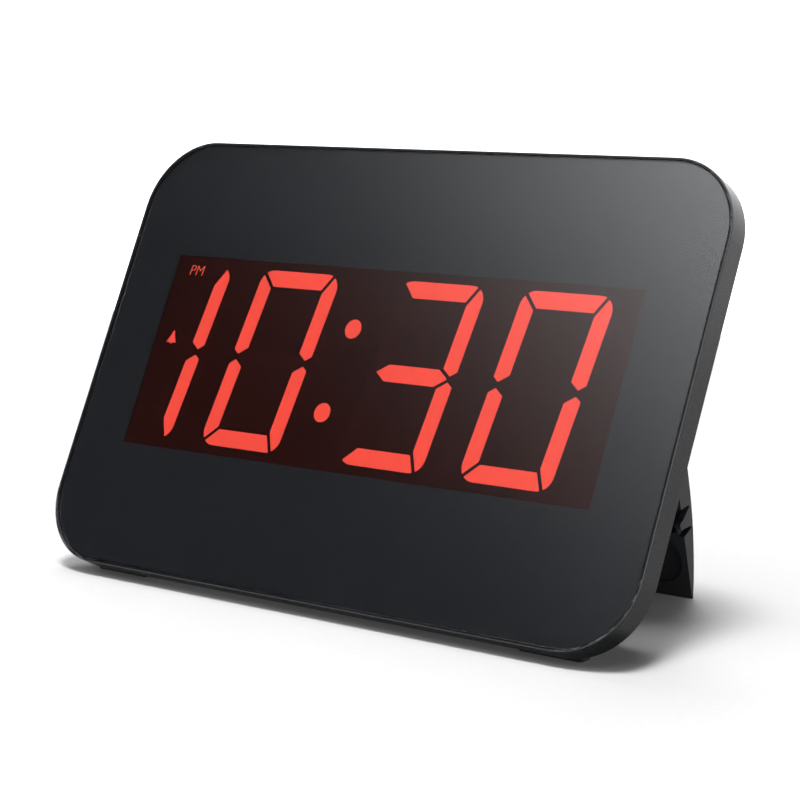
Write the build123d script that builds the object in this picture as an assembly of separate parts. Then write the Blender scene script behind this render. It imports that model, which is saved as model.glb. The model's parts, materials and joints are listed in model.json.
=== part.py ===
from build123d import *
import os
from math import cos, radians, sin, sqrt, tan

# A slim digital alarm clock that leans back on a fold-out stand. Millimetres and degrees.
# The case is drawn lying on its back: X to the right, Y up the face from its middle, and the
# front plane at Z = 0, with depths counted backwards from it. It is then tilted up to stand.

# Case
case_width = 218.0
case_height = 142.4
corner_radius = 22.9
frame_depth = 8.4
case_depth = 30.3
lean_angle = 25.86
overrun = 2.0

# Bezel frame
lip_width = 0.75
lip_round = 0.3
back_chamfer = 0.5
side_wall = 2.2
face_wall = 1.8
post_radius = 3.5
display_post_radius = 2.8

# Front panel and the layers behind it
panel_gap = 0.25
panel_recess = 0.15
panel_thickness = 1.2
panel_edge = 0.1
mask_thickness = 0.2
mask_margin = 0.4
film_gap = 0.05
filter_thickness = 0.3
filter_overlap = 2.2
tape_inset = 1.8
tape_width = 7.0
window_width_share = 0.80183
window_height_share = 0.44803
window_left = 0.6
window_rise = 0.3

# Seven-segment digits, with their places as shares of the window
digit_height_share = 0.90831
digit_width_share = 0.17906
digit_stroke = 5.35
digit_round = 5.0
digit_slant = 5.5
digit_lift = 0.5
joint_gap = 1.05
middle_gap = 1.8
left_mitre_share = 1.0
right_mitre_share = 0.54
tip_share = 0.4
tip_slope = 35.0
minute_units_share = 0.34096
digit_pitch_share = 0.25172
colon_pitch_share = 0.31121
colon_x_share = -0.06694
colon_spread_share = 0.42006
colon_diameter = 6.1
colon_drop = 0.5
segment_inset = 0.1
segment_thickness = 4.0
bell_x_share = -0.4651
bell_y = 4.8
bell_height = 4.0
bell_width = 4.3
bell_crown = 0.6
bell_waist_share = 0.4
clapper_radius = 0.5
pm_light_x_share = -0.45309
pm_light_y_share = 0.4279
pm_light_width = 7.0
pm_light_height = 4.4
pm_skin = 0.6

# Display reflector and boards
reflector_margin = 0.9
reflector_fit = 0.25
reflector_depth_share = 0.3333
reflector_flange = 2.0
reflector_wall = 1.2
board_thickness = 1.6
display_board_side = 10.6
display_board_rise = 7.1
display_hole_inset = 3.8
led_length = 2.0
led_width = 1.25
led_height = 0.8
led_lens_radius = 0.45
led_lens_depth = 0.2

# Rear cover
cover_step = 2.0
cover_inset_share = 0.11236
cover_back_radius = 14.0
cover_back_round = 2.5
cover_wall = 2.0
tongue_gap = 0.15
tongue_thickness = 1.3
tongue_length = 2.0
pocket_wall = 1.8

# Stand, its pocket and its hinge
open_angle = 40.9
stand_width_share = 0.7211
neck_width_share = 0.44037
stand_wide_share = 0.32303
stand_thickness = 6.3
stand_taper = 37.0
stand_tip = 0.6
stand_skin = 1.2
stand_cheek = 2.0
stand_rib = 1.6
stand_shoulder_radius = 6.0
stand_neck_radius = 4.0
stand_seat = 0.3
stand_clearance = 0.8
stop_clearance = 0.05
heel_length = 4.0
hinge_rise_share = 0.2177
hinge_pin_radius = 1.25
pin_running_fit = 0.06
pin_press_fit = 0.01
pin_overlap = 2.6
lug_length = 3.2
lug_radius = 2.9
pocket_top_gap = 2.8
dish_rim = 4.5
dish_height = 15.0
dish_radius = 7.4
bay_radius = 2.5
rib_count = 2

# Snap fingers in the cheeks of the stand, each between two slots, measured up from its foot
narrow_slot_low = 20.5
narrow_slot_width = 2.5
narrow_tip_share = 0.55
finger_width = 2.6
wide_slot_width = 3.7
wide_tip_share = 0.8
slot_depth = 4.5
slot_tip_width = 0.8
finger_hook = 1.4
finger_round = 1.0
catch_clearance = 1.0

# Control board and what it carries
control_gap = 5.0
control_clear = 1.0
control_tab_share = 0.12385
control_tab_gap = 2.8
control_reach = 6.9
control_post_radius = 2.4
control_post_reach = 3.5
control_post_drop = 0.6
tab_post_share = 0.9037
tab_post_rise = 3.6
tab_centre_share = 0.55185
header_length = 20.0
header_width = 2.6
header_rise = 6.6
header_gap = 1.2
header_pin = 0.64
header_pitch = 2.54
chip_length = 12.8
chip_width = 7.5
chip_height = 2.0
chip_drop = 14.6
chip_lead_reach = 1.4
chip_lead_width = 0.5
chip_lead_pitch = 1.27
chip_lead_count = 9
crystal_radius = 1.0
crystal_length = 6.0
crystal_reach = 6.5
buzzer_radius = 6.0
buzzer_height = 4.5
buzzer_port_radius = 1.0
buzzer_port_depth = 1.5
buzzer_drop = 15.6
sound_hole_radius = 0.8
sound_ring_radius = 3.6
sound_hole_count = 6
inlet_rise = 8.6
inlet_width = 7.8
inlet_height = 2.9
inlet_corner = 0.7
inlet_wall = 0.35
inlet_floor = 0.6
inlet_sunk = 0.5
inlet_clearance = 0.3
inlet_tongue_width = 4.6
inlet_tongue_height = 0.6
inlet_tongue_depth = 4.6

# Backup cell and its door
cell_radius = 10.0
cell_height = 3.2
cell_drop = 0.7
cell_clearance = 0.3
cell_edge = 0.3
holder_wall = 1.5
holder_floor = 0.8
holder_rim = 2.0
clip_width = 5.0
clip_thickness = 0.3
clip_gap = 0.05
clip_reach = 8.0
door_height = 25.0
door_reach = 12.3
door_drop = 5.5
door_gap = 0.25
door_rail = 1.0
door_rail_thickness = 0.7
door_grip_count = 4
door_grip_pitch = 2.6
door_grip_width = 1.2
door_grip_depth = 0.5
door_grip_inset = 25.0
door_grip_height = 14.0

# Push buttons and their switches
button_names = ["mode", "alarm", "up", "down", "dimmer"]
button_pitch_share = 0.19792
button_rise = 6.1
button_length = 12.0
button_width = 6.5
button_gap = 0.3
button_proud = 1.0
button_round = 0.6
button_flange = 0.9
button_flange_rim = 1.0
button_seat = 0.1
button_travel = 0.6
switch_size = 6.0
switch_height = 3.3
switch_floor = 0.5
plunger_radius = 1.7
plunger_fit = 0.1
plunger_foot = 0.1

# Wall keyholes
keyhole_x_share = 0.2867
keyhole_radius = 3.75
keyhole_slot_radius = 2.1
keyhole_slot_length = 6.5

# Screws
screw_head_radius = 2.75
screw_head_height = 1.6
screw_shank_radius = 1.2
screw_length = 9.0
screw_fit = 0.05
screw_hole_clearance = 0.3
screw_head_clearance = 0.3
boss_floor = 1.6
boss_join_share = 0.5926
boss_wall = 1.0
top_screw_x_share = 0.3945
top_screw_rise = 7.0
low_screw_x_share = 0.38168
low_screw_drop = 8.2
small_head_radius = 2.2
small_head_height = 1.4
small_shank_radius = 0.95
small_screw_length = 5.0
recess_width = 0.7
recess_depth = 0.6

# Rubber feet under the rear cover
foot_drop = 0.7
foot_inset = 28.5
foot_length = 21.0
foot_depth = 5.5
foot_start = 1.2
foot_height = 5.0
foot_corner = 1.5

# Window, digits and boards, worked out from the case
window_width = case_width * window_width_share
window_height = case_height * window_height_share
digit_height = window_height * digit_height_share
digit_width = window_width * digit_width_share
digit_pitch = window_width * digit_pitch_share
colon_x = window_width * colon_x_share
colon_spread = window_height * colon_spread_share
bell_x = window_width * bell_x_share
pm_light_x = window_width * pm_light_x_share
pm_light_y = window_height * pm_light_y_share
reflector_depth = case_depth * reflector_depth_share
display_board_width = window_width + 2 * display_board_side
display_board_height = window_height + 2 * display_board_rise
cover_inset = case_height * cover_inset_share
boss_join_depth = case_depth * boss_join_share
door_low_depth = case_depth - door_drop

# Depths behind the front plane, worked out from the layers above
panel_back = panel_recess + panel_thickness
mask_front = panel_back + film_gap
mask_back = mask_front + mask_thickness
seat_depth = mask_back + filter_thickness
face_back = seat_depth + face_wall
reflector_front = seat_depth + film_gap
segment_front = reflector_front + segment_inset
reflector_back = reflector_front + reflector_depth
display_back = reflector_back + board_thickness
cover_inside = case_depth - cover_wall
control_back = cover_inside - control_gap
control_front = control_back - board_thickness
pocket_floor = case_depth - stand_thickness - stand_seat
hinge_depth = pocket_floor + stand_seat + stand_thickness / 2
boss_seat_depth = boss_join_depth + boss_floor
flange_back = cover_inside - button_seat
flange_front = flange_back - button_flange

# Lean of the case, and the level of the ground under it, before it is set down
lean = radians(lean_angle)
opening = radians(open_angle)
leg_lean = opening - lean
edge_level = -(case_height / 2 * cos(lean) + frame_depth * sin(lean))
ground_level = edge_level - foot_drop

# The stand is as long as it needs to be to reach the ground when it is open
stand_width = case_width * stand_width_share
neck_width = case_width * neck_width_share
stand_wide_height = case_height * stand_wide_share
hinge_rise = case_height * hinge_rise_share
hinge_radius = stand_thickness / 2
hinge_level = hinge_rise * cos(lean) - hinge_depth * sin(lean)
stand_length = (hinge_level - hinge_radius * sin(leg_lean) - ground_level) / cos(leg_lean)
stand_foot = hinge_rise - stand_length
hinge_axis = Axis((0, hinge_rise, -hinge_depth), (1, 0, 0))
pocket_top = hinge_rise + hinge_radius + pocket_top_gap

# Slots beside the stand's fingers, one above the other
narrow_slot_high = narrow_slot_low + narrow_slot_width
narrow_slot_tip = narrow_slot_low + narrow_slot_width * narrow_tip_share
wide_slot_low = narrow_slot_high + finger_width
wide_slot_high = wide_slot_low + wide_slot_width
wide_slot_tip = wide_slot_low + wide_slot_width * wide_tip_share

# Places on the back, counted from the stand's pocket and the edges of the case
button_pitch = neck_width * button_pitch_share
button_y = pocket_top + pocket_wall + button_rise
keyhole_x = case_width * keyhole_x_share
keyhole_y = button_y
control_inner_x = neck_width / 2 + stand_clearance + pocket_wall + control_clear
control_tab_width = case_width * control_tab_share
control_top = button_y + control_reach
control_tab_low = stand_foot + stand_wide_height + stand_clearance + pocket_wall + control_tab_gap
control_post_x = neck_width / 2 + control_post_reach
control_post_y = button_y - control_post_drop
control_tab_post_x = control_inner_x + control_tab_width * tab_post_share
control_tab_post_y = control_tab_low + tab_post_rise
tab_centre_x = control_inner_x + control_tab_width * tab_centre_share
header_y = control_tab_post_y + header_rise
inlet_y = control_tab_post_y + inlet_rise
chip_y = button_y - chip_drop
buzzer_y = button_y - buzzer_drop
crystal_x = -control_post_x - crystal_reach
cell_y = (control_tab_post_y + keyhole_y) / 2 - cell_drop
door_start_x = tab_centre_x - door_reach
door_grip_x = case_width / 2 - door_grip_inset
top_screw_x = case_width * top_screw_x_share
top_screw_y = display_board_height / 2 + top_screw_rise
low_screw_x = stand_width * low_screw_x_share
low_screw_y = -display_board_height / 2 - low_screw_drop
foot_x = case_width / 2 - foot_inset

# Slope of the rear cover's sides
cover_slope = (cover_inset - cover_step) / (case_depth - frame_depth)
cover_wall_run = cover_wall * sqrt(1 + cover_slope ** 2)


def rect(left, low, right, high):
    """A rectangle between two corners."""
    return Pos((left + right) / 2, (low + high) / 2) * Rectangle(right - left, high - low)


def slab(outline, front, back):
    """An outline made solid between two depths behind the front plane."""
    return extrude(Pos(0, 0, -back) * outline, back - front, dir=(0, 0, 1))


def rod(x, y, radius, front, back):
    """A round rod along the depth of the case."""
    return slab(Pos(x, y) * Circle(radius), front, back)


def mirrored(x, y):
    """A place and its mirror image across the middle of the case."""
    return [(x, y), (-x, y)]


def together(solids):
    """Separate solids that share one name."""
    return Compound(children=list(solids))


def case_outline(inset):
    """The case's rounded outline, drawn in by an inset."""
    return RectangleRounded(case_width - 2 * inset, case_height - 2 * inset, corner_radius - inset)


def stretch_x(profile, half):
    """A side profile, drawn with Y and Z, made solid across the middle of the case."""
    return extrude(Plane.YZ * profile, half, both=True)


# Screw places
case_screw_places = mirrored(top_screw_x, top_screw_y) + mirrored(low_screw_x, low_screw_y)
display_screw_x = display_board_width / 2 - display_hole_inset
display_screw_y = display_board_height / 2 - display_hole_inset
display_screw_places = mirrored(display_screw_x, display_screw_y)
display_screw_places += mirrored(display_screw_x, -display_screw_y)
control_screw_places = mirrored(control_post_x, control_post_y)
control_screw_places += mirrored(control_tab_post_x, control_tab_post_y)


def make_screw(x, y, seat, sense, head_radius, head_height, shank_radius, length):
    """A cross-recessed screw; sense is 1 if it is driven forwards and -1 if backwards."""
    head_end = seat + sense * head_height
    shank_end = seat - sense * length
    head = rod(x, y, head_radius, min(seat, head_end), max(seat, head_end))
    shank = rod(x, y, shank_radius, min(seat, shank_end), max(seat, shank_end))
    arm = Rectangle(head_radius, recess_width)
    cross = Pos(x, y) * (arm + Rot(0, 0, 90) * arm)
    recess_floor = head_end - sense * recess_depth
    return head + shank - slab(cross, min(recess_floor, head_end), max(recess_floor, head_end))


def make_bezel_frame():
    """The moulded frame: a thin lip, a wall that carries the panel, and posts for boards and cover."""
    frame = slab(case_outline(0), 0, frame_depth)
    frame = fillet(frame.edges().group_by(Axis.Z)[-1], lip_round)
    frame = chamfer(frame.edges().group_by(Axis.Z)[0], back_chamfer)
    frame -= slab(case_outline(lip_width), -overrun, seat_depth)
    frame -= slab(case_outline(side_wall), face_back, frame_depth + overrun)
    frame -= slab(window_area(reflector_margin + reflector_fit), 0, frame_depth)
    case_hole_end = boss_seat_depth - screw_length
    for x, y in case_screw_places:
        frame += rod(x, y, post_radius, face_back, boss_join_depth)
        frame -= rod(x, y, screw_shank_radius + screw_fit, case_hole_end, boss_join_depth)
    display_hole_end = display_back - small_screw_length
    for x, y in display_screw_places:
        frame += rod(x, y, display_post_radius, face_back, reflector_back)
        frame -= rod(x, y, small_shank_radius + screw_fit, display_hole_end, reflector_back)
    return frame


def make_front_panel():
    """The glossy sheet that closes the front."""
    panel = slab(case_outline(lip_width + panel_gap), panel_recess, panel_back)
    return chamfer(panel.edges().group_by(Axis.Z)[-1], panel_edge)


def window_area(grow):
    """The display window's outline, a little left of and above the middle, grown by a margin."""
    return Pos(-window_left, window_rise) * Rectangle(window_width + 2 * grow, window_height + 2 * grow)


def make_panel_mask():
    """The opaque layer behind the panel, open at the display window."""
    outline = case_outline(lip_width + panel_gap + mask_margin)
    return slab(outline - window_area(0), mask_front, mask_back)


def make_panel_tape():
    """The ring of adhesive tape that holds the panel in the frame."""
    ring = case_outline(tape_inset) - case_outline(tape_inset + tape_width)
    return slab(ring, mask_back, seat_depth)


def make_window_filter():
    """The red filter behind the window."""
    return slab(window_area(filter_overlap), mask_back, seat_depth)


def slanted(points):
    """Points of a digit, leaning to the right with height."""
    return [(x + y * tan(radians(digit_slant)), y) for x, y in points]


def digit_outline():
    """The slanted, round-cornered outline that all seven segments lie in."""
    x, y = digit_width / 2, digit_height / 2
    corners = Polygon(*slanted([(-x, -y), (x, -y), (x, y), (-x, y)]), align=None)
    return fillet(corners.vertices(), digit_round)


def segment_points(letter):
    """Corners of one segment of an upright digit, before it is slanted."""
    half_width, half_height = digit_width / 2, digit_height / 2
    inner_x, inner_y = half_width - digit_stroke, half_height - digit_stroke
    left_shift = joint_gap / 2 * sqrt(1 + left_mitre_share ** 2)
    right_shift = joint_gap / 2 * sqrt(1 + right_mitre_share ** 2)
    slope = radians(tip_slope)
    tip = tip_share * digit_stroke
    if letter in "ad":
        points = [
            (-inner_x + left_shift, inner_y),
            (inner_x - right_shift, inner_y),
            (inner_x - right_shift + right_mitre_share * digit_stroke, half_height),
            (-inner_x + left_shift - left_mitre_share * digit_stroke, half_height),
        ]
    elif letter in "bcef":
        side = 1 if letter in "bc" else -1
        share = right_mitre_share if side > 0 else left_mitre_share
        shift = right_shift if side > 0 else left_shift
        points = [
            (side * (half_width - tip), middle_gap / 2),
            (side * inner_x, middle_gap / 2 + (digit_stroke - tip) * tan(slope)),
            (side * inner_x, inner_y - shift / share),
            (side * half_width, inner_y + (digit_stroke - shift) / share),
            (side * half_width, middle_gap / 2 + tip * tan(slope)),
        ]
    else:
        end = half_width - tip - (joint_gap - middle_gap / 2 * cos(slope)) / sin(slope)
        flat = end - digit_stroke / 2 / tan(slope)
        half = digit_stroke / 2
        points = [(-end, 0), (-flat, -half), (flat, -half), (end, 0), (flat, half), (-flat, half)]
    if letter in "dce":
        points = [(x, -y) for x, y in points]
    return points


def segment(letter, x):
    """The flat outline of one segment of the digit at x."""
    shape = Polygon(*slanted(segment_points(letter)), align=None)
    return Pos(x, digit_lift) * (shape & digit_outline())


def segment_middle(letter, x):
    """The middle of one segment of the digit at x."""
    across, up = zip(*slanted(segment_points(letter)))
    return (x + sum(across) / len(across), digit_lift + sum(up) / len(up))


# Which segments each digit has, and which of them are lit at half past ten
minute_units_x = window_width * minute_units_share
minute_tens_x = minute_units_x - digit_pitch
hour_units_x = minute_tens_x - window_width * colon_pitch_share
hour_tens_x = hour_units_x - digit_pitch
lit_letters = {
    "hour_tens": (hour_tens_x, "bc"),
    "hour_units": (hour_units_x, "abcdef"),
    "minute_tens": (minute_tens_x, "abcdg"),
    "minute_units": (minute_units_x, "abcdef"),
}
dark_letters = [(hour_units_x, "g"), (minute_tens_x, "e"), (minute_tens_x, "f"), (minute_units_x, "g")]
colon_places = [(colon_x + tan(radians(digit_slant)) * y, y - colon_drop)
                for y in (colon_spread / 2, -colon_spread / 2)]


def alarm_mark():
    """The small bell of the alarm light: sides that flare to a wide mouth, and a clapper below it."""
    top, mouth = bell_height / 2, -bell_height / 2
    crown, wide = bell_crown / 2, bell_width / 2
    waist = crown + (wide - crown) * bell_waist_share
    edges = [
        Line((-crown, top), (crown, top)),
        ThreePointArc((crown, top), (waist, 0), (wide, mouth)),
        Line((wide, mouth), (-wide, mouth)),
        ThreePointArc((-wide, mouth), (-waist, 0), (-crown, top)),
    ]
    bell = make_face(Curve() + edges) + Pos(0, mouth) * Circle(clapper_radius)
    return Pos(bell_x, bell_y) * bell


def light_outlines():
    """Every outline that passes through the reflector, apart from the light behind the letters."""
    outlines = [segment(letter, x) for x, letters in lit_letters.values() for letter in letters]
    outlines += [segment(letter, x) for x, letter in dark_letters]
    outlines += [Pos(x, y) * Circle(colon_diameter / 2) for x, y in colon_places]
    return outlines + [alarm_mark()]


def pm_light():
    """The small oblong light for the afternoon mark."""
    return Pos(pm_light_x, pm_light_y) * Rectangle(pm_light_width, pm_light_height)


def light_inserts(outlines):
    """Diffusing inserts that fill the front of the reflector's cells."""
    return together(slab(outline, segment_front, segment_front + segment_thickness) for outline in outlines)


def make_indicator_lights():
    """The alarm mark and the light behind the afternoon mark."""
    front = reflector_front + pm_skin
    return together([
        slab(alarm_mark(), segment_front, segment_front + segment_thickness),
        slab(pm_light(), front, front + segment_thickness),
    ])


def make_display_reflector():
    """The shell with a walled cell for every segment, which passes through the frame's window."""
    block = slab(window_area(reflector_margin), reflector_front, face_back)
    block += slab(window_area(reflector_margin + reflector_flange), face_back, reflector_back)
    outlines = light_outlines()
    lands = Sketch() + [offset(outline, reflector_wall) for outline in outlines + [pm_light()]]
    hollow = window_area(reflector_margin - reflector_wall) - lands
    block -= slab(hollow, reflector_front + reflector_wall, reflector_back)
    for outline in outlines:
        block -= slab(outline, 0, reflector_back)
    return block - slab(pm_light(), reflector_front + pm_skin, reflector_back)


def make_display_board():
    """The board behind the reflector."""
    board = slab(Rectangle(display_board_width, display_board_height), reflector_back, display_back)
    for x, y in display_screw_places:
        board -= rod(x, y, small_shank_radius + screw_hole_clearance, 0, case_depth)
    return board


def make_segment_leds():
    """One small light-emitting chip for every segment, dot and mark."""
    places = [segment_middle(letter, x) for x, letters in lit_letters.values() for letter in letters]
    places += [segment_middle(letter, x) for x, letter in dark_letters]
    places += colon_places + [(bell_x, bell_y), (pm_light_x, pm_light_y)]
    chip_front = reflector_back - led_height
    chip = slab(Rectangle(led_width, led_length), chip_front, reflector_back)
    chip -= rod(0, 0, led_lens_radius, chip_front, chip_front + led_lens_depth)
    return together(Pos(x, y) * chip for x, y in places)


def cover_outline(depth, wall):
    """The rear cover's outline at a depth, drawn in by a wall measured along the slope."""
    inset = cover_step + cover_slope * (depth - frame_depth) + wall
    share = (depth - frame_depth) / (case_depth - frame_depth)
    front_radius = corner_radius - cover_step
    radius = front_radius + (cover_back_radius - front_radius) * share - wall
    return RectangleRounded(case_width - 2 * inset, case_height - 2 * inset, radius)


def cover_loft(front, back, wall):
    """The tapering body of the rear cover between two depths."""
    ends = [Pos(0, 0, -depth) * cover_outline(depth, wall) for depth in (front, back)]
    return loft(ends, ruled=True)


def cover_body():
    """The rear cover as if it were solid, with its back edge rounded."""
    body = cover_loft(frame_depth, case_depth, 0)
    return fillet(body.edges().group_by(Axis.Z)[0], cover_back_round)


def stand_plan(low, top, grow):
    """The stand's outline, wide at the foot with a narrower neck, grown by a clearance."""
    wide = stand_width / 2 + grow
    neck = neck_width / 2 + grow
    shoulder = stand_foot + stand_wide_height + grow
    plan = rect(-wide, low, wide, shoulder) + rect(-neck, low, neck, top)
    inner_corners = plan.vertices().group_by(Axis.Y)[1].sort_by(Axis.X)[1:3]
    plan = fillet(inner_corners, stand_neck_radius)
    sides = plan.vertices().group_by(Axis.X)
    shoulders = [side.sort_by(Axis.Y)[-1] for side in (sides[0], sides[-1])]
    return fillet(shoulders, stand_shoulder_radius + grow)


def button_places():
    """Each button's name and its place along the row."""
    first = -button_pitch * (len(button_names) - 1) / 2
    return [(name, first + index * button_pitch) for index, name in enumerate(button_names)]


def door_block(grow):
    """The space that the battery door takes, from its inner end out past the side of the cover."""
    half = door_height / 2 + grow
    plan = rect(door_start_x - grow, cell_y - half, case_width / 2, cell_y + half)
    return slab(plan, door_low_depth - grow, case_depth + overrun)


def door_rails(grow):
    """The rails along both edges of the battery door."""
    middle = (cover_inside + case_depth) / 2
    half = door_rail_thickness / 2 + grow
    reach = door_height / 2 + door_rail + grow
    plan = rect(door_start_x - grow, cell_y - reach, case_width / 2, cell_y + reach)
    return slab(plan, middle - half, middle + half)


def keyhole(x, y):
    """A wall-screw opening: a round entry with a narrower slot above it."""
    slot = rect(-keyhole_slot_radius, 0, keyhole_slot_radius, keyhole_slot_length)
    slot += Pos(0, keyhole_slot_length) * Circle(keyhole_slot_radius)
    return Pos(x, y) * (Circle(keyhole_radius) + slot)


def inlet_outline(grow):
    """The power socket's rounded outline, grown by a clearance."""
    return RectangleRounded(inlet_width + 2 * grow, inlet_height + 2 * grow, inlet_corner + grow)


def sound_hole_places():
    """A ring of small holes round one in the middle, over the buzzer."""
    ring = [360 / sound_hole_count * index for index in range(sound_hole_count)]
    places = [(sound_ring_radius * cos(radians(a)), sound_ring_radius * sin(radians(a))) for a in ring]
    return [(-tab_centre_x + x, buzzer_y + y) for x, y in [(0, 0)] + places]


def make_rear_cover(body):
    """The tapering moulded cover, with the stand's pocket, hinge lugs, bosses and all its openings."""
    cover = body - cover_loft(frame_depth - overrun, cover_inside, cover_wall_run)
    tongue_outer = side_wall + tongue_gap
    tongue = case_outline(tongue_outer) - case_outline(tongue_outer + tongue_thickness)
    cover += slab(tongue, frame_depth - tongue_length, frame_depth)

    # The pocket's walls, the hinge lugs and the bosses, all kept inside the cover's outline
    inside = slab(
        stand_plan(-case_height / 2, pocket_top + pocket_wall, stand_clearance + pocket_wall),
        pocket_floor - pocket_wall, case_depth,
    )
    lug_end = neck_width / 2 + stand_clearance + pocket_wall + lug_length
    inside += Pos(0, hinge_rise, -hinge_depth) * Rot(0, 90, 0) * Cylinder(lug_radius, 2 * lug_end)
    boss_radius = screw_head_radius + screw_head_clearance + boss_wall
    for x, y in case_screw_places:
        inside += rod(x, y, boss_radius, boss_join_depth, case_depth)
    for x, y in control_screw_places:
        inside += rod(x, y, control_post_radius, control_back, case_depth)
    cover += inside & body

    # The pocket itself, the hinge pin's hole and the catches for the stand's fingers
    cover -= slab(stand_plan(-case_height / 2 - overrun, pocket_top, stand_clearance),
                  pocket_floor, case_depth + overrun)
    pin_end = neck_width / 2 + stand_clearance + pin_overlap
    cover -= Pos(0, hinge_rise, -hinge_depth) * Rot(0, 90, 0) * Cylinder(
        hinge_pin_radius + pin_press_fit, 2 * pin_end)
    catch_low = stand_foot + narrow_slot_high - catch_clearance
    catch_high = stand_foot + wide_slot_low + catch_clearance
    for side in (1, -1):
        ends = sorted([side * (stand_width / 2 - stand_cheek - catch_clearance),
                       side * (stand_width / 2 + stand_clearance)])
        cover -= slab(rect(ends[0], catch_low, ends[1], catch_high), pocket_floor - pocket_wall, case_depth)

    for x, y in case_screw_places:
        cover -= rod(x, y, screw_head_radius + screw_head_clearance, boss_seat_depth, case_depth + overrun)
        cover -= rod(x, y, screw_shank_radius + screw_hole_clearance, boss_join_depth, boss_seat_depth)
    for x, y in control_screw_places:
        hole_end = control_front + small_screw_length
        cover -= rod(x, y, small_shank_radius + screw_fit, control_back, hole_end)
    for name, x in button_places():
        hole = SlotOverall(button_length + 2 * button_gap, button_width + 2 * button_gap)
        cover -= slab(Pos(x, button_y) * hole, cover_inside, case_depth)
    for x, y in mirrored(keyhole_x, keyhole_y):
        cover -= slab(keyhole(x, y), cover_inside, case_depth)
    for x, y in sound_hole_places():
        cover -= rod(x, y, sound_hole_radius, cover_inside, case_depth)
    cover -= slab(Pos(-tab_centre_x, inlet_y) * inlet_outline(inlet_clearance), cover_inside, case_depth)
    return cover - door_block(door_gap) - door_rails(door_gap / 2)


def make_battery_door(body):
    """The part of the cover's wall that slides out sideways on two rails."""
    shell = body - cover_loft(frame_depth - overrun, cover_inside, cover_wall_run)
    wall = shell & door_block(0)
    flat_end = case_width / 2 - cover_inset - cover_back_round
    rails = door_rails(0) & slab(rect(0, -case_height, flat_end, case_height), 0, case_depth)
    door = wall + rails
    for index in range(door_grip_count):
        x = door_grip_x - index * door_grip_pitch
        half = door_grip_height / 2
        groove = rect(x - door_grip_width, cell_y - half, x, cell_y + half)
        door -= slab(groove, case_depth - door_grip_depth, case_depth)
    return door


def stand_profile():
    """The stand seen from the side, folded: flat inside, a tapering outer face and a round hinge."""
    r = hinge_radius
    foot_inner = (-stand_length, r)
    foot_outer = (-stand_length - stand_tip * sin(leg_lean), r - stand_tip * cos(leg_lean))
    taper_end = (-stand_length + stand_taper, -r)
    edges = [
        Line((0, r), foot_inner),
        Line(foot_inner, foot_outer),
        TangentArc(taper_end, foot_outer, tangent=(-1, 0)),
        Line(taper_end, (0, -r)),
        ThreePointArc((0, -r), (r, 0), (0, r)),
    ]
    heel = rect(0, -r / 2, heel_length, r + stand_seat - stop_clearance)
    return make_face(Curve() + edges) + Rot(0, 0, -open_angle) * heel


def finger_profile():
    """The hooked end of a snap finger, in front of the stand's inner face."""
    low = -stand_length + narrow_slot_high
    high = -stand_length + wide_slot_low
    hook = rect(low, 0, high, hinge_radius + finger_hook)
    return fillet(hook.vertices().group_by(Axis.Y)[-1], finger_round)


def slot_profile(low, high, tip):
    """A slot in a cheek, narrowing from the inner face towards its tip."""
    half = slot_tip_width / 2
    inner = hinge_radius + overrun
    deep = hinge_radius - slot_depth
    corners = [(low, inner), (low, hinge_radius), (tip - half, deep), (tip + half, deep),
               (high, hinge_radius), (high, inner)]
    return Polygon(*[(y - stand_length, z) for y, z in corners], align=None)


def stand_bays():
    """Outlines of the hollows in the stand's inner face, between its rim and ribs."""
    half = stand_width / 2 - stand_cheek
    neck = neck_width / 2 - stand_cheek
    dish_top = stand_foot + dish_rim + dish_height
    bays = [(rect(-half, stand_foot + dish_rim, half, dish_top), dish_radius)]
    shoulder = stand_foot + stand_wide_height - stand_cheek
    neck_low = shoulder + stand_rib
    neck_top = hinge_rise - hinge_radius - stand_rib
    for low, high, reach in [(dish_top + stand_rib, shoulder, half), (neck_low, neck_top, neck)]:
        step = (2 * reach + stand_rib) / (rib_count + 1)
        for index in range(rib_count + 1):
            left = -reach + index * step
            bays.append((rect(left, low, left + step - stand_rib, high), bay_radius))
    return [fillet(bay.vertices(), radius) for bay, radius in bays]


def make_stand():
    """The fold-out stand in its folded place."""
    block = Pos(0, hinge_rise, -hinge_depth) * stretch_x(stand_profile(), stand_width / 2)
    plan = stand_plan(stand_foot - stand_tip, pocket_top, 0)
    stand = block & slab(plan, 0, 2 * case_depth)
    hollow = Pos(0, 0, stand_skin) * block
    for bay in stand_bays():
        stand -= hollow & slab(bay, 0, 2 * case_depth)
    for side in (1, -1):
        cheek = Pos(side * (stand_width - stand_cheek) / 2, hinge_rise, -hinge_depth)
        stand += cheek * stretch_x(finger_profile(), stand_cheek / 2)
        for slot in [(narrow_slot_low, narrow_slot_high, narrow_slot_tip),
                     (wide_slot_low, wide_slot_high, wide_slot_tip)]:
            stand -= cheek * stretch_x(slot_profile(*slot), stand_cheek / 2)
    bore = Cylinder(hinge_pin_radius + pin_running_fit, neck_width)
    return stand - Pos(0, hinge_rise, -hinge_depth) * Rot(0, 90, 0) * bore


def make_hinge_pin():
    """The steel pin that the stand turns on."""
    length = neck_width + 2 * (stand_clearance + pin_overlap)
    pin = Rot(0, 90, 0) * Cylinder(hinge_pin_radius, length)
    pin = chamfer(pin.edges().filter_by(GeomType.CIRCLE), hinge_pin_radius / 4)
    return Pos(0, hinge_rise, -hinge_depth) * pin


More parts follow.
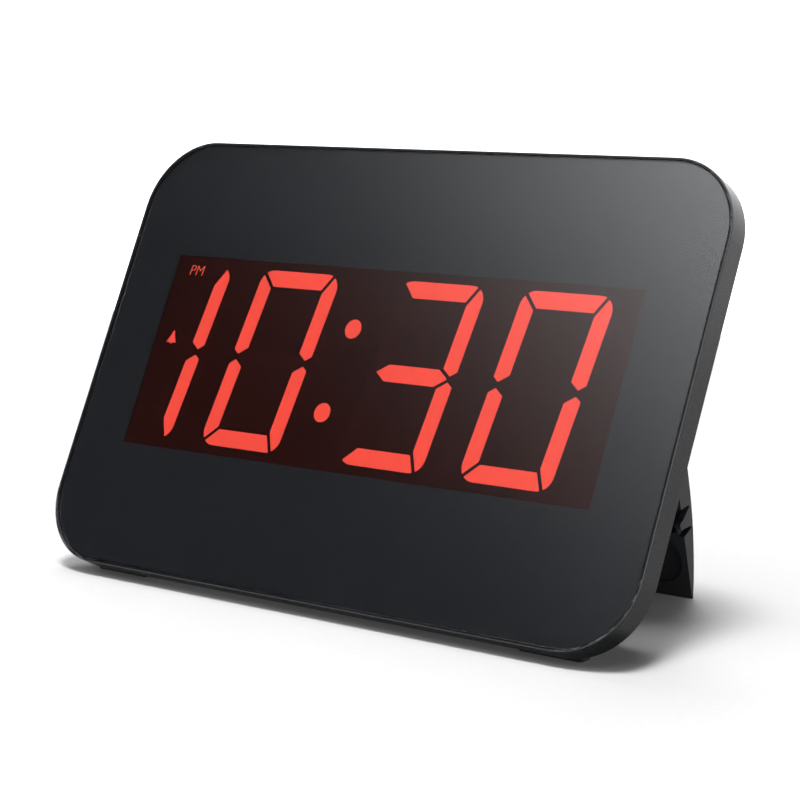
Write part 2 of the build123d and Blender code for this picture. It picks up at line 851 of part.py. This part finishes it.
def make_control_board():
    """The board round the stand's neck, with a tab down each side."""
    strip_low = pocket_top + pocket_wall + control_clear
    outer = control_inner_x + control_tab_width
    board = rect(-outer, strip_low, outer, control_top)
    for left, right in [(control_inner_x, outer), (-outer, -control_inner_x)]:
        board += rect(left, control_tab_low, right, control_top)
    board = slab(board, control_front, control_back)
    for x, y in control_screw_places:
        board -= rod(x, y, small_shank_radius + screw_hole_clearance, 0, case_depth)
    return board


def make_board_header():
    """The strip of pins that joins the two boards."""
    half = (control_front - display_back - header_gap) / 2
    strip = Rectangle(header_length, header_width)
    header = slab(strip, display_back, display_back + half)
    header += slab(strip, control_front - half, control_front)
    count = int(header_length / header_pitch)
    for index in range(count):
        pin = Pos(header_pitch * (index - (count - 1) / 2), 0) * Rectangle(header_pin, header_pin)
        header += slab(pin, display_back, control_front)
    return Pos(-tab_centre_x, header_y) * header


def make_clock_chip():
    """The clock chip on the front of the control board, with two rows of leads."""
    chip = slab(Rectangle(chip_width, chip_length), control_front - chip_height, control_front)
    first = -chip_lead_pitch * (chip_lead_count - 1) / 2
    reach = chip_width / 2 + chip_lead_reach
    for index in range(chip_lead_count):
        middle = first + index * chip_lead_pitch
        lead = rect(-reach, middle - chip_lead_width / 2, reach, middle + chip_lead_width / 2)
        chip += slab(lead, control_front - chip_lead_width, control_front)
    return Pos(-tab_centre_x, chip_y) * chip


def make_quartz_crystal():
    """The timing crystal's can, lying on the board."""
    can = Rot(90, 0, 0) * Cylinder(crystal_radius, crystal_length)
    can = fillet(can.edges().filter_by(GeomType.CIRCLE), crystal_radius / 4)
    return Pos(crystal_x, control_post_y, -(control_front - crystal_radius)) * can


def make_buzzer():
    """The round buzzer, with its port towards the sound holes."""
    body = rod(-tab_centre_x, buzzer_y, buzzer_radius, control_back, control_back + buzzer_height)
    port_floor = control_back + buzzer_height - buzzer_port_depth
    return body - rod(-tab_centre_x, buzzer_y, buzzer_port_radius, port_floor, control_back + buzzer_height)


def make_power_inlet():
    """The small power socket: a metal shell with a tongue for the contacts."""
    mouth = case_depth - inlet_sunk
    inlet = slab(inlet_outline(0), control_back, mouth)
    inlet -= slab(inlet_outline(-inlet_wall), control_back + inlet_floor, mouth)
    tongue = Rectangle(inlet_tongue_width, inlet_tongue_height)
    inlet += slab(tongue, control_back, control_back + inlet_tongue_depth)
    return Pos(-tab_centre_x, inlet_y) * inlet


def make_coin_cell():
    """The backup cell: a flat disc with chamfered edges."""
    front = control_back + holder_floor
    cell = rod(tab_centre_x, cell_y, cell_radius, front, front + cell_height)
    return chamfer(cell.edges().filter_by(GeomType.CIRCLE), cell_edge)


def make_cell_holder():
    """The round holder on the control board, open on the side that the cell slides out of."""
    bore = cell_radius + cell_clearance
    top = control_back + holder_floor + holder_rim
    holder = rod(tab_centre_x, cell_y, bore + holder_wall, control_back, top)
    holder -= rod(tab_centre_x, cell_y, bore, control_back + holder_floor, top)
    half = cell_radius / 2
    mouth = rect(tab_centre_x, cell_y - half, case_width / 2, cell_y + half)
    return holder - slab(mouth, control_back + holder_floor, top)


def make_cell_clip():
    """The spring clip that presses on the cell, with its foot on the control board."""
    top = control_back + holder_floor + cell_height + clip_gap
    outer = tab_centre_x - cell_radius - cell_clearance - holder_wall - clip_gap
    half = clip_width / 2
    arm = rect(outer - clip_thickness, cell_y - half, outer + clip_reach, cell_y + half)
    post = rect(outer - clip_thickness, cell_y - half, outer, cell_y + half)
    return slab(arm, top, top + clip_thickness) + slab(post, control_back, top)


def make_key_switches():
    """Five push switches on the control board, each with a well for its plunger."""
    top = control_back + switch_height
    body = slab(Rectangle(switch_size, switch_size), control_back, top)
    body -= rod(0, 0, plunger_radius + plunger_fit, control_back + switch_floor, top)
    return together(Pos(x, button_y) * body for name, x in button_places())


def make_plunger(x):
    """The plunger of the switch under one button."""
    foot = control_back + switch_floor + plunger_foot + button_travel
    return rod(x, button_y, plunger_radius, foot, flange_front)


def make_button(x):
    """A pill-shaped button cap with the flange that keeps it in the cover."""
    place = Pos(x, button_y)
    cap = slab(place * SlotOverall(button_length, button_width), flange_front, case_depth + button_proud)
    cap = fillet(cap.edges().group_by(Axis.Z)[0], button_round)
    rim = 2 * button_flange_rim
    flange = place * SlotOverall(button_length + rim, button_width + rim)
    return cap + slab(flange, flange_front, flange_back)


def make_rubber_feet(standing_body):
    """Two rubber feet under the tilted cover, flat on the ground and cut to its slope."""
    edge_y = -case_height / 2 * sin(lean) + frame_depth * cos(lean)
    start = edge_y + foot_start
    pad = RectangleRounded(foot_length, foot_depth, foot_corner)
    feet = []
    for side in (1, -1):
        place = Pos(side * foot_x, start + foot_depth / 2, ground_level)
        foot = extrude(place * pad, foot_height) - standing_body
        feet.append(foot.solids().sort_by(Axis.Z)[0])
    return together(feet)


def make_parts():
    """Every piece of the clock, tilted up but not yet set down."""
    body = cover_body()
    lying = {
        "bezel_frame": make_bezel_frame(),
        "front_panel": make_front_panel(),
        "panel_mask": make_panel_mask(),
        "panel_tape": make_panel_tape(),
        "window_filter": make_window_filter(),
        "display_reflector": make_display_reflector(),
        "unlit_segments": light_inserts(segment(letter, x) for x, letter in dark_letters),
        "colon_dots": light_inserts(Pos(x, y) * Circle(colon_diameter / 2) for x, y in colon_places),
        "indicator_lights": make_indicator_lights(),
        "display_board": make_display_board(),
        "segment_leds": make_segment_leds(),
        "control_board": make_control_board(),
        "board_header": make_board_header(),
        "clock_chip": make_clock_chip(),
        "quartz_crystal": make_quartz_crystal(),
        "buzzer": make_buzzer(),
        "power_inlet": make_power_inlet(),
        "coin_cell": make_coin_cell(),
        "cell_holder": make_cell_holder(),
        "cell_clip": make_cell_clip(),
        "key_switches": make_key_switches(),
        "rear_cover": make_rear_cover(body),
        "battery_door": make_battery_door(body),
        "hinge_pin": make_hinge_pin(),
        "stand": make_stand().rotate(hinge_axis, open_angle),
    }
    for digit, (x, letters) in lit_letters.items():
        lying[digit + "_segments"] = light_inserts(segment(letter, x) for letter in letters)
    for name, x in button_places():
        lying[name + "_button"] = make_button(x)
        lying[name + "_plunger"] = make_plunger(x)
    large = (screw_head_radius, screw_head_height, screw_shank_radius, screw_length)
    small = (small_head_radius, small_head_height, small_shank_radius, small_screw_length)
    for name, places, seat, sense, sizes in [
        ("case_screws", case_screw_places, boss_seat_depth, 1, large),
        ("display_screws", display_screw_places, display_back, 1, small),
        ("control_screws", control_screw_places, control_front, -1, small),
    ]:
        lying[name] = together(make_screw(x, y, seat, sense, *sizes) for x, y in places)
    tilt = Rot(90 - lean_angle, 0, 0)
    standing = {name: tilt * part for name, part in lying.items()}
    standing["rubber_feet"] = make_rubber_feet(tilt * body)
    return standing


def set_down(parts):
    """The move that puts the middle of the clock's footprint at the origin."""
    boxes = [part.bounding_box() for part in parts.values()]
    front = min(box.min.Y for box in boxes)
    back = max(box.max.Y for box in boxes)
    return Pos(0, -(front + back) / 2, -ground_level)


def main():
    parts = make_parts()
    place = set_down(parts)
    os.makedirs("parts", exist_ok=True)
    for name, part in parts.items():
        export_step(place * part, os.path.join("parts", name + ".step"))


if __name__ == "__main__":
    main()
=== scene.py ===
import json
from math import cos, radians, sin, tan

import bmesh
import bpy
from mathutils import Matrix, Vector


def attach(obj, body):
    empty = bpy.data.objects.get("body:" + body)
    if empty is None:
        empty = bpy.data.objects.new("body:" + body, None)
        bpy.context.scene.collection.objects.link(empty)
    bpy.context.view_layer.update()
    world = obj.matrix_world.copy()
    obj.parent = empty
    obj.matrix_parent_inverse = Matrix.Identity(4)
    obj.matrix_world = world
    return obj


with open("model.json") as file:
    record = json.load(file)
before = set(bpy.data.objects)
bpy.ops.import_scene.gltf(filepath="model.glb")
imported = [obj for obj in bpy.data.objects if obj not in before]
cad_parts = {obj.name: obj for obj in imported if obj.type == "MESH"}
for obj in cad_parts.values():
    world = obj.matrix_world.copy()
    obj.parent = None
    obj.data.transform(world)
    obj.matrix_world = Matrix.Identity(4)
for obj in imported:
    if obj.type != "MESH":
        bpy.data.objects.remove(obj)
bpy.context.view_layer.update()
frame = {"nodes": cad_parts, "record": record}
nodes = frame["nodes"]

MM = 0.001

# The case leans back by this angle about the middle of its front plane. In the case's own frame, x runs
# along the front, y up it and z out of it.
LEAN = radians(25.86)
FRONT_CENTRE = Vector((0.0, -13.5762, 68.4341)) * MM
CASE_AXES = Matrix((
    (1.0, 0.0, 0.0),
    (0.0, sin(LEAN), -cos(LEAN)),
    (0.0, cos(LEAN), sin(LEAN)),
)).to_4x4()
CASE_FRAME = Matrix.Translation(FRONT_CENTRE) @ CASE_AXES
FRONT_AXIS = CASE_AXES.to_3x3().col[2]

# Every finish has a fine grain and a broad drift of its colour, this many times as large
DRIFT_OVER_GRAIN = 60
GRAIN_DETAIL = 3.0
DRIFT_DETAIL = 2.0
# Values of the grain times the drift where the first colour ends and the second begins
TINT_STOPS = (0.1, 0.45)

# The afternoon mark, in millimetres in the case's frame, with its slant in degrees and the share by which
# its strokes are thinned
MARK_WIDTH = 5.3
MARK_HEIGHT = 3.2
MARK_THICKNESS = 0.1
MARK_SLANT = 5.5
MARK_THINNING = -0.026
MARK_PLACE = (-78.95, 27.3, -1.52)

# The words over the buttons, in millimetres in the case's frame
LEGEND_OF_X = {-38.0: "MODE", -19.0: "ALARM", 0.0: "UP", 19.0: "DOWN", 38.0: "DIM"}
LEGEND_Y = 50.45
LEGEND_Z = -30.3
LEGEND_HEIGHT = 2.2
LEGEND_THICKNESS = 0.04

# The camera, from the middle of the front, in millimetres
CAMERA_OFFSET = (403.5, -506.5, 91.9)
CAMERA_DIRECTION = (-0.6037, 0.7823, -0.1535)
LENS = 99.7
SENSOR_WIDTH = 36.0

FLOOR_HALF_WIDTH = 600.0

# The studio's lights: the horizon's level in front of the clock and behind it, the share of backwards over
# which it goes from one to the other, and the light that comes from everywhere
HORIZON_IN_FRONT = 1.2
HORIZON_BEHIND = 2.2
HORIZON_TURN = 0.3
ALL_ROUND = 0.01
BACKWARDS = (0.0, 1.0, 0.0)


def linear(code):
    """An sRGB hex colour as linear red, green, blue and alpha."""
    channels = [int(code[i:i + 2], 16) / 255 for i in (1, 3, 5)]
    return [c / 12.92 if c <= 0.04045 else ((c + 0.055) / 1.055) ** 2.4 for c in channels] + [1.0]


def per_mm(size):
    """The scale that makes a texture's features about this many millimetres across."""
    return 1.0 / (size * MM)


def add(tree, kind, sockets=None, **settings):
    """Adds a node with its settings; a socket takes a value or another node's output."""
    made = tree.nodes.new(kind)
    for name, value in settings.items():
        setattr(made, name, value)
    for name, value in (sockets or {}).items():
        if isinstance(value, bpy.types.NodeSocket):
            tree.links.new(value, made.inputs[name])
        else:
            made.inputs[name].default_value = value
    return made


def finish(name, colours, grain, roughness, bump, depth, sockets):
    """A material whose colour and roughness drift over a grain, with a bump of the same grain. The grain
    and the bump's depth are in millimetres."""
    material = bpy.data.materials.new(name)
    material.use_nodes = True
    tree = material.node_tree
    tree.nodes.clear()
    place = add(tree, "ShaderNodeTexCoord").outputs["Object"]
    fine = add(tree, "ShaderNodeTexNoise", {
        "Vector": place, "Scale": per_mm(grain), "Detail": GRAIN_DETAIL})
    broad = add(tree, "ShaderNodeTexNoise", {
        "Vector": place, "Scale": per_mm(DRIFT_OVER_GRAIN * grain), "Detail": DRIFT_DETAIL})
    blend = add(tree, "ShaderNodeMath", {
        0: fine.outputs["Fac"], 1: broad.outputs["Fac"]}, operation="MULTIPLY")
    tint = add(tree, "ShaderNodeValToRGB", {"Fac": blend.outputs[0]})
    for stop, position, colour in zip(tint.color_ramp.elements, TINT_STOPS, colours):
        stop.position = position
        stop.color = linear(colour)
    polish = add(tree, "ShaderNodeMapRange", {
        "Value": fine.outputs["Fac"], "To Min": roughness[0], "To Max": roughness[1]})
    relief = add(tree, "ShaderNodeBump", {
        "Height": fine.outputs["Fac"], "Strength": bump, "Distance": depth * MM})
    shader = add(tree, "ShaderNodeBsdfPrincipled", {
        "Base Color": tint.outputs["Color"], "Roughness": polish.outputs["Result"],
        "Normal": relief.outputs["Normal"], **sockets})
    add(tree, "ShaderNodeOutputMaterial", {"Surface": shader.outputs["BSDF"]})
    return material


# The grain of the real moulded skins, inks and platings is under 0.1 mm. It is drawn at 0.15 to 0.9 mm
# here, as coarse as it needs to be to show.

# ABS with a satin moulded skin: soft, slightly blurred reflections
satin_abs = finish(
    "satin_moulded_abs", colours=("#0e0f10", "#121314"), grain=0.3, roughness=(0.24, 0.30),
    bump=0.03, depth=0.02, sockets={"IOR": 1.53, "Specular IOR Level": 0.16})

# The same ABS where the mould is blasted, on the frame's front rim and the wall inside it: a dark band
# that hardly reflects
blasted_abs = finish(
    "blasted_moulded_abs", colours=("#343538", "#3a3b3e"), grain=0.2, roughness=(0.55, 0.65),
    bump=0.15, depth=0.02, sockets={"IOR": 1.53, "Specular IOR Level": 0.1})

# ABS from a spark-eroded mould: an even, fine grain that breaks up highlights
grained_abs = finish(
    "spark_grained_abs", colours=("#303134", "#393a3d"), grain=0.35, roughness=(0.42, 0.55),
    bump=0.25, depth=0.03, sockets={"IOR": 1.53, "Specular IOR Level": 0.12})

# ABS from a polished mould, for the key caps: smooth, with a clear highlight
smooth_abs = finish(
    "smooth_moulded_abs", colours=("#262729", "#2c2d30"), grain=0.4, roughness=(0.28, 0.34),
    bump=0.03, depth=0.02, sockets={"IOR": 1.53})

# Cast acrylic sheet with a grey tint: clear, with one sharp reflection
smoked_acrylic = finish(
    "smoked_cast_acrylic", colours=("#cfd1d6", "#d6d8dc"), grain=4.0, roughness=(0.01, 0.02),
    bump=0.0, depth=0.0, sockets={"IOR": 1.49, "Transmission Weight": 1.0})

# Screen ink behind the sheet and on its edge: flat and near black
screen_ink = finish(
    "screen_printed_ink", colours=("#0c0e12", "#0f1115"), grain=0.2, roughness=(0.5, 0.6),
    bump=0.02, depth=0.01, sockets={"IOR": 1.5})

# Foam tape: open cells, no gloss
foam_tape = finish(
    "acrylic_foam_tape", colours=("#0d0d0d", "#151515"), grain=0.25, roughness=(0.85, 0.95),
    bump=0.3, depth=0.05, sockets={"IOR": 1.45})

# Dyed polyester film: lets red through and darkens everything else. It lies close to the sheet, so it
# hardly reflects by itself, and its index is low for that.
dyed_film = finish(
    "dyed_polyester_film", colours=("#d9a29a", "#dfaaa2"), grain=1.5, roughness=(0.05, 0.09),
    bump=0.01, depth=0.01,
    sockets={"IOR": 1.12, "Specular Tint": linear("#ff2a20"), "Transmission Weight": 1.0})

# Black reflector moulding: dull, with a faint painted glow that stands in for the light leaking from its
# cells
reflector_abs = finish(
    "black_reflector_abs_painted_glow", colours=("#1d1110", "#261514"), grain=0.5, roughness=(0.6, 0.7),
    bump=0.1, depth=0.02,
    sockets={"IOR": 1.5, "Emission Color": linear("#ffb5a9"), "Emission Strength": 0.025})

# Epoxy that scatters the light of the chip behind it: an even, saturated glow
lit_epoxy = finish(
    "lit_diffusing_epoxy", colours=("#f0402c", "#f54a34"), grain=0.8, roughness=(0.4, 0.5),
    bump=0.05, depth=0.02,
    sockets={"IOR": 1.5, "Emission Color": linear("#ff7868"), "Emission Strength": 1.75})

# The same epoxy with its chip off: as dark as the moulding round it, with the same faint painted glow for
# the light leaking from the cells
unlit_epoxy = finish(
    "unlit_diffusing_epoxy_painted_glow", colours=("#1d1110", "#261514"), grain=0.8, roughness=(0.5, 0.6),
    bump=0.05, depth=0.02,
    sockets={"IOR": 1.5, "Emission Color": linear("#ffb5a9"), "Emission Strength": 0.03})

# Epoxy of the thin letters, over a chip of their own: dimmer and more orange than the segments
letter_epoxy = finish(
    "lit_letter_epoxy", colours=("#a03020", "#a83828"), grain=0.4, roughness=(0.4, 0.5),
    bump=0.05, depth=0.01,
    sockets={"IOR": 1.5, "Emission Color": linear("#ff6346"), "Emission Strength": 1.3})

# Glass-epoxy board under solder mask: a glossy, slightly uneven green
solder_mask = finish(
    "green_solder_mask", colours=("#0c3a1e", "#155a30"), grain=0.9, roughness=(0.3, 0.4),
    bump=0.08, depth=0.03, sockets={"IOR": 1.5})

# Moulded body of a surface-mounted light-emitting chip: cream white, half matt
chip_body = finish(
    "white_chip_moulding", colours=("#d8d2bd", "#e6e1cf"), grain=0.2, roughness=(0.4, 0.5),
    bump=0.03, depth=0.01, sockets={"IOR": 1.5})

# Zinc-plated steel: bright, faintly blotched passivation
zinc_steel = finish(
    "zinc_plated_steel", colours=("#a8a9a6", "#c3c4c1"), grain=0.25, roughness=(0.28, 0.42),
    bump=0.05, depth=0.01, sockets={"Metallic": 1.0})

# Nickel-plated steel: brighter and warmer than zinc
nickel_steel = finish(
    "nickel_plated_steel", colours=("#bdb9af", "#d0ccc2"), grain=0.25, roughness=(0.16, 0.26),
    bump=0.03, depth=0.01, sockets={"Metallic": 1.0})

# Rolled phosphor bronze strip, for springs: a warm yellow with a soft shine
spring_bronze = finish(
    "phosphor_bronze_strip", colours=("#a98a52", "#c0a166"), grain=0.3, roughness=(0.25, 0.35),
    bump=0.04, depth=0.01, sockets={"Metallic": 1.0})

# Moulded bodies of electronic parts: matt black with a slight grain
black_moulding = finish(
    "black_component_moulding", colours=("#101011", "#19191a"), grain=0.25, roughness=(0.5, 0.62),
    bump=0.15, depth=0.02, sockets={"IOR": 1.5})

# Moulded acetal, for the plungers: waxy and off-white
acetal = finish(
    "moulded_acetal", colours=("#cfcabd", "#dcd8cc"), grain=0.4, roughness=(0.3, 0.38),
    bump=0.03, depth=0.02, sockets={"IOR": 1.48})

# Moulded silicone rubber, for the feet: dark, with a dusty sheen
foot_rubber = finish(
    "moulded_silicone_rubber", colours=("#0f0f10", "#1a1a1b"), grain=0.3, roughness=(0.7, 0.8),
    bump=0.2, depth=0.03, sockets={"IOR": 1.42, "Sheen Weight": 0.15})

# Pad-printing ink: an even light grey without gloss
print_ink = finish(
    "pad_printed_ink", colours=("#a9abad", "#b4b6b8"), grain=0.15, roughness=(0.5, 0.6),
    bump=0.05, depth=0.01, sockets={"IOR": 1.5})

MATERIAL_OF_SLOT = {
    "frame_plastic": satin_abs,
    "smoked_sheet": smoked_acrylic,
    "mask_print": screen_ink,
    "tape_foam": foam_tape,
    "red_filter": dyed_film,
    "reflector_plastic": reflector_abs,
    "lit_diffuser": lit_epoxy,
    "unlit_diffuser": unlit_epoxy,
    "circuit_board": solder_mask,
    "led_chip": chip_body,
    "zinc_steel": zinc_steel,
    "black_plastic": black_moulding,
    "nickel_steel": nickel_steel,
    "spring_brass": spring_bronze,
    "plunger_plastic": acetal,
    "cover_plastic": grained_abs,
    "button_plastic": smooth_abs,
    "foot_rubber": foot_rubber,
}
for part in frame["record"]["subparts"]:
    mesh = nodes[part["node"]].data
    mesh.materials.clear()
    mesh.materials.append(MATERIAL_OF_SLOT[part["material_slot"]])


def dress(node, material, low, high, inner_walls):
    """Gives a second material to a node's faces that face the front by a share between two limits, and
    to its walls that face the middle of the front where inner walls are asked for."""
    mesh = nodes[node].data
    mesh.materials.append(material)
    for face in mesh.polygons:
        share = face.normal.dot(FRONT_AXIS)
        inwards = face.normal.dot(FRONT_CENTRE - face.center) > 0
        if low <= share <= high or (inner_walls and inwards and abs(share) < low):
            face.material_index = 1


dress("bezel_frame", blasted_abs, low=0.4, high=1.0, inner_walls=True)
dress("front_panel", screen_ink, low=-0.5, high=0.5, inner_walls=False)


def lettering(name, words, width, height, thickness, slant=0.0, thinning=0.0):
    """Raised words, drawn flat about the origin and fitted to a width (or none) and a height."""
    curve = bpy.data.curves.new(name, "FONT")
    curve.body = words
    curve.align_x = "CENTER"
    curve.extrude = 0.5
    curve.offset = thinning
    text = bpy.data.objects.new(name, curve)
    bpy.context.scene.collection.objects.link(text)
    bpy.context.view_layer.update()
    mesh = bpy.data.meshes.new_from_object(text)
    bpy.data.objects.remove(text)
    low = Vector([min(v.co[i] for v in mesh.vertices) for i in range(3)])
    high = Vector([max(v.co[i] for v in mesh.vertices) for i in range(3)])
    size = high - low
    tall = height / size.y
    wide = width / size.x if width else tall
    mesh.transform(Matrix.Translation(-(low + high) / 2))
    mesh.transform(Matrix.Diagonal((wide, tall, thickness / size.z, 1.0)))
    shear = Matrix.Identity(4)
    shear[0][1] = tan(radians(slant))
    mesh.transform(shear)
    mesh.name = name
    made = bpy.data.objects.new(name, mesh)
    bpy.context.scene.collection.objects.link(made)
    return made


# The afternoon mark: lit letters on the front of the filter
pm_mark = lettering(
    "pm_letters", "PM", MARK_WIDTH * MM, MARK_HEIGHT * MM, MARK_THICKNESS * MM, MARK_SLANT, MARK_THINNING)
pm_mark.data.transform(CASE_FRAME @ Matrix.Translation(Vector(MARK_PLACE) * MM))
pm_mark.data.materials.append(letter_epoxy)
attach(pm_mark, "case")

# Printed words over the buttons on the back, read from behind
FROM_BEHIND = Matrix.Rotation(radians(180), 4, "Y")
for x, word in LEGEND_OF_X.items():
    legend = lettering(
        "legend_" + word.lower(), word, None, LEGEND_HEIGHT * MM, LEGEND_THICKNESS * MM)
    spot = Matrix.Translation(Vector((x, LEGEND_Y, LEGEND_Z)) * MM)
    legend.data.transform(CASE_FRAME @ spot @ FROM_BEHIND)
    legend.data.materials.append(print_ink)
    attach(legend, "case")

# Camera, at the distance and angle that the photograph was taken from
camera_data = bpy.data.cameras.new("camera")
camera_data.lens = LENS
camera_data.sensor_width = SENSOR_WIDTH
camera = bpy.data.objects.new("camera", camera_data)
bpy.context.scene.collection.objects.link(camera)
camera.location = FRONT_CENTRE + Vector(CAMERA_OFFSET) * MM
camera.rotation_euler = Vector(CAMERA_DIRECTION).to_track_quat("-Z", "Y").to_euler()
bpy.context.scene.camera = camera
bpy.context.scene.view_settings.view_transform = "Standard"

# Pale floor: a white sheet that lets a little light through from below
floor_mesh = bmesh.new()
bmesh.ops.create_grid(floor_mesh, x_segments=1, y_segments=1, size=FLOOR_HALF_WIDTH * MM)
floor_data = bpy.data.meshes.new("floor")
floor_mesh.to_mesh(floor_data)
floor_mesh.free()
floor = bpy.data.objects.new("floor", floor_data)
bpy.context.scene.collection.objects.link(floor)
floor_paper = finish(
    "white_paper_sweep", colours=("#888888", "#8c8c8c"), grain=2.0, roughness=(0.8, 0.9),
    bump=0.01, depth=0.01,
    sockets={"IOR": 1.3, "Emission Color": linear("#ffffff"), "Emission Strength": 0.035})
floor.data.materials.append(floor_paper)

# Studio, as one world of lights that add up
world = bpy.data.worlds.new("studio")
bpy.context.scene.world = world
world.use_nodes = True
sky = world.node_tree
sky.nodes.clear()
direction = add(sky, "ShaderNodeTexCoord").outputs["Generated"]


def studio_light(towards, begins, full, rise, strength, most):
    """A light of the world round a direction: the shares of that direction where it begins and is full,
    the power by which it rises, its strength and the level where it stops rising."""
    facing = add(sky, "ShaderNodeVectorMath", {0: direction, 1: towards}, operation="DOT_PRODUCT")
    spread = add(sky, "ShaderNodeMapRange", {
        "Value": facing.outputs["Value"], "From Min": begins, "From Max": full})
    curve = add(sky, "ShaderNodeMath", {0: spread.outputs["Result"], 1: rise}, operation="POWER")
    raised = add(sky, "ShaderNodeMath", {0: curve.outputs[0], 1: strength}, operation="MULTIPLY")
    return add(sky, "ShaderNodeMath", {0: raised.outputs[0], 1: most}, operation="MINIMUM").outputs[0]


behind = add(sky, "ShaderNodeVectorMath", {0: direction, 1: BACKWARDS}, operation="DOT_PRODUCT")
horizon_level = add(sky, "ShaderNodeMapRange", {
    "Value": behind.outputs["Value"], "From Min": -HORIZON_TURN, "From Max": HORIZON_TURN,
    "To Min": HORIZON_IN_FRONT, "To Max": HORIZON_BEHIND})

# A white horizon all round, brighter behind the clock
horizon = studio_light(
    (0.0, 0.0, -1.0), begins=-0.32, full=-0.2, rise=1.0,
    strength=horizon_level.outputs["Result"], most=HORIZON_BEHIND)
# A wide soft light high over the front, which levels off
soft_box = studio_light(
    (-0.1213, -0.434, 0.8927), begins=0.7326, full=1.0, rise=3.6, strength=17.7, most=3.6)
# A small light overhead
overhead = studio_light(
    (0.06, -0.155, 0.9861), begins=0.985, full=1.0, rise=1.0, strength=155.0, most=155.0)
# A wider one behind on the left
back_light = studio_light(
    (-0.33, 0.5, 0.8007), begins=0.961, full=1.0, rise=1.0, strength=21.0, most=21.0)

total = ALL_ROUND
for light in (horizon, soft_box, overhead, back_light):
    total = add(sky, "ShaderNodeMath", {0: light, 1: total}, operation="ADD").outputs[0]
backdrop = add(sky, "ShaderNodeBackground", {"Color": (1.0, 1.0, 1.0, 1.0), "Strength": total})
add(sky, "ShaderNodeOutputWorld", {"Surface": backdrop.outputs["Background"]})
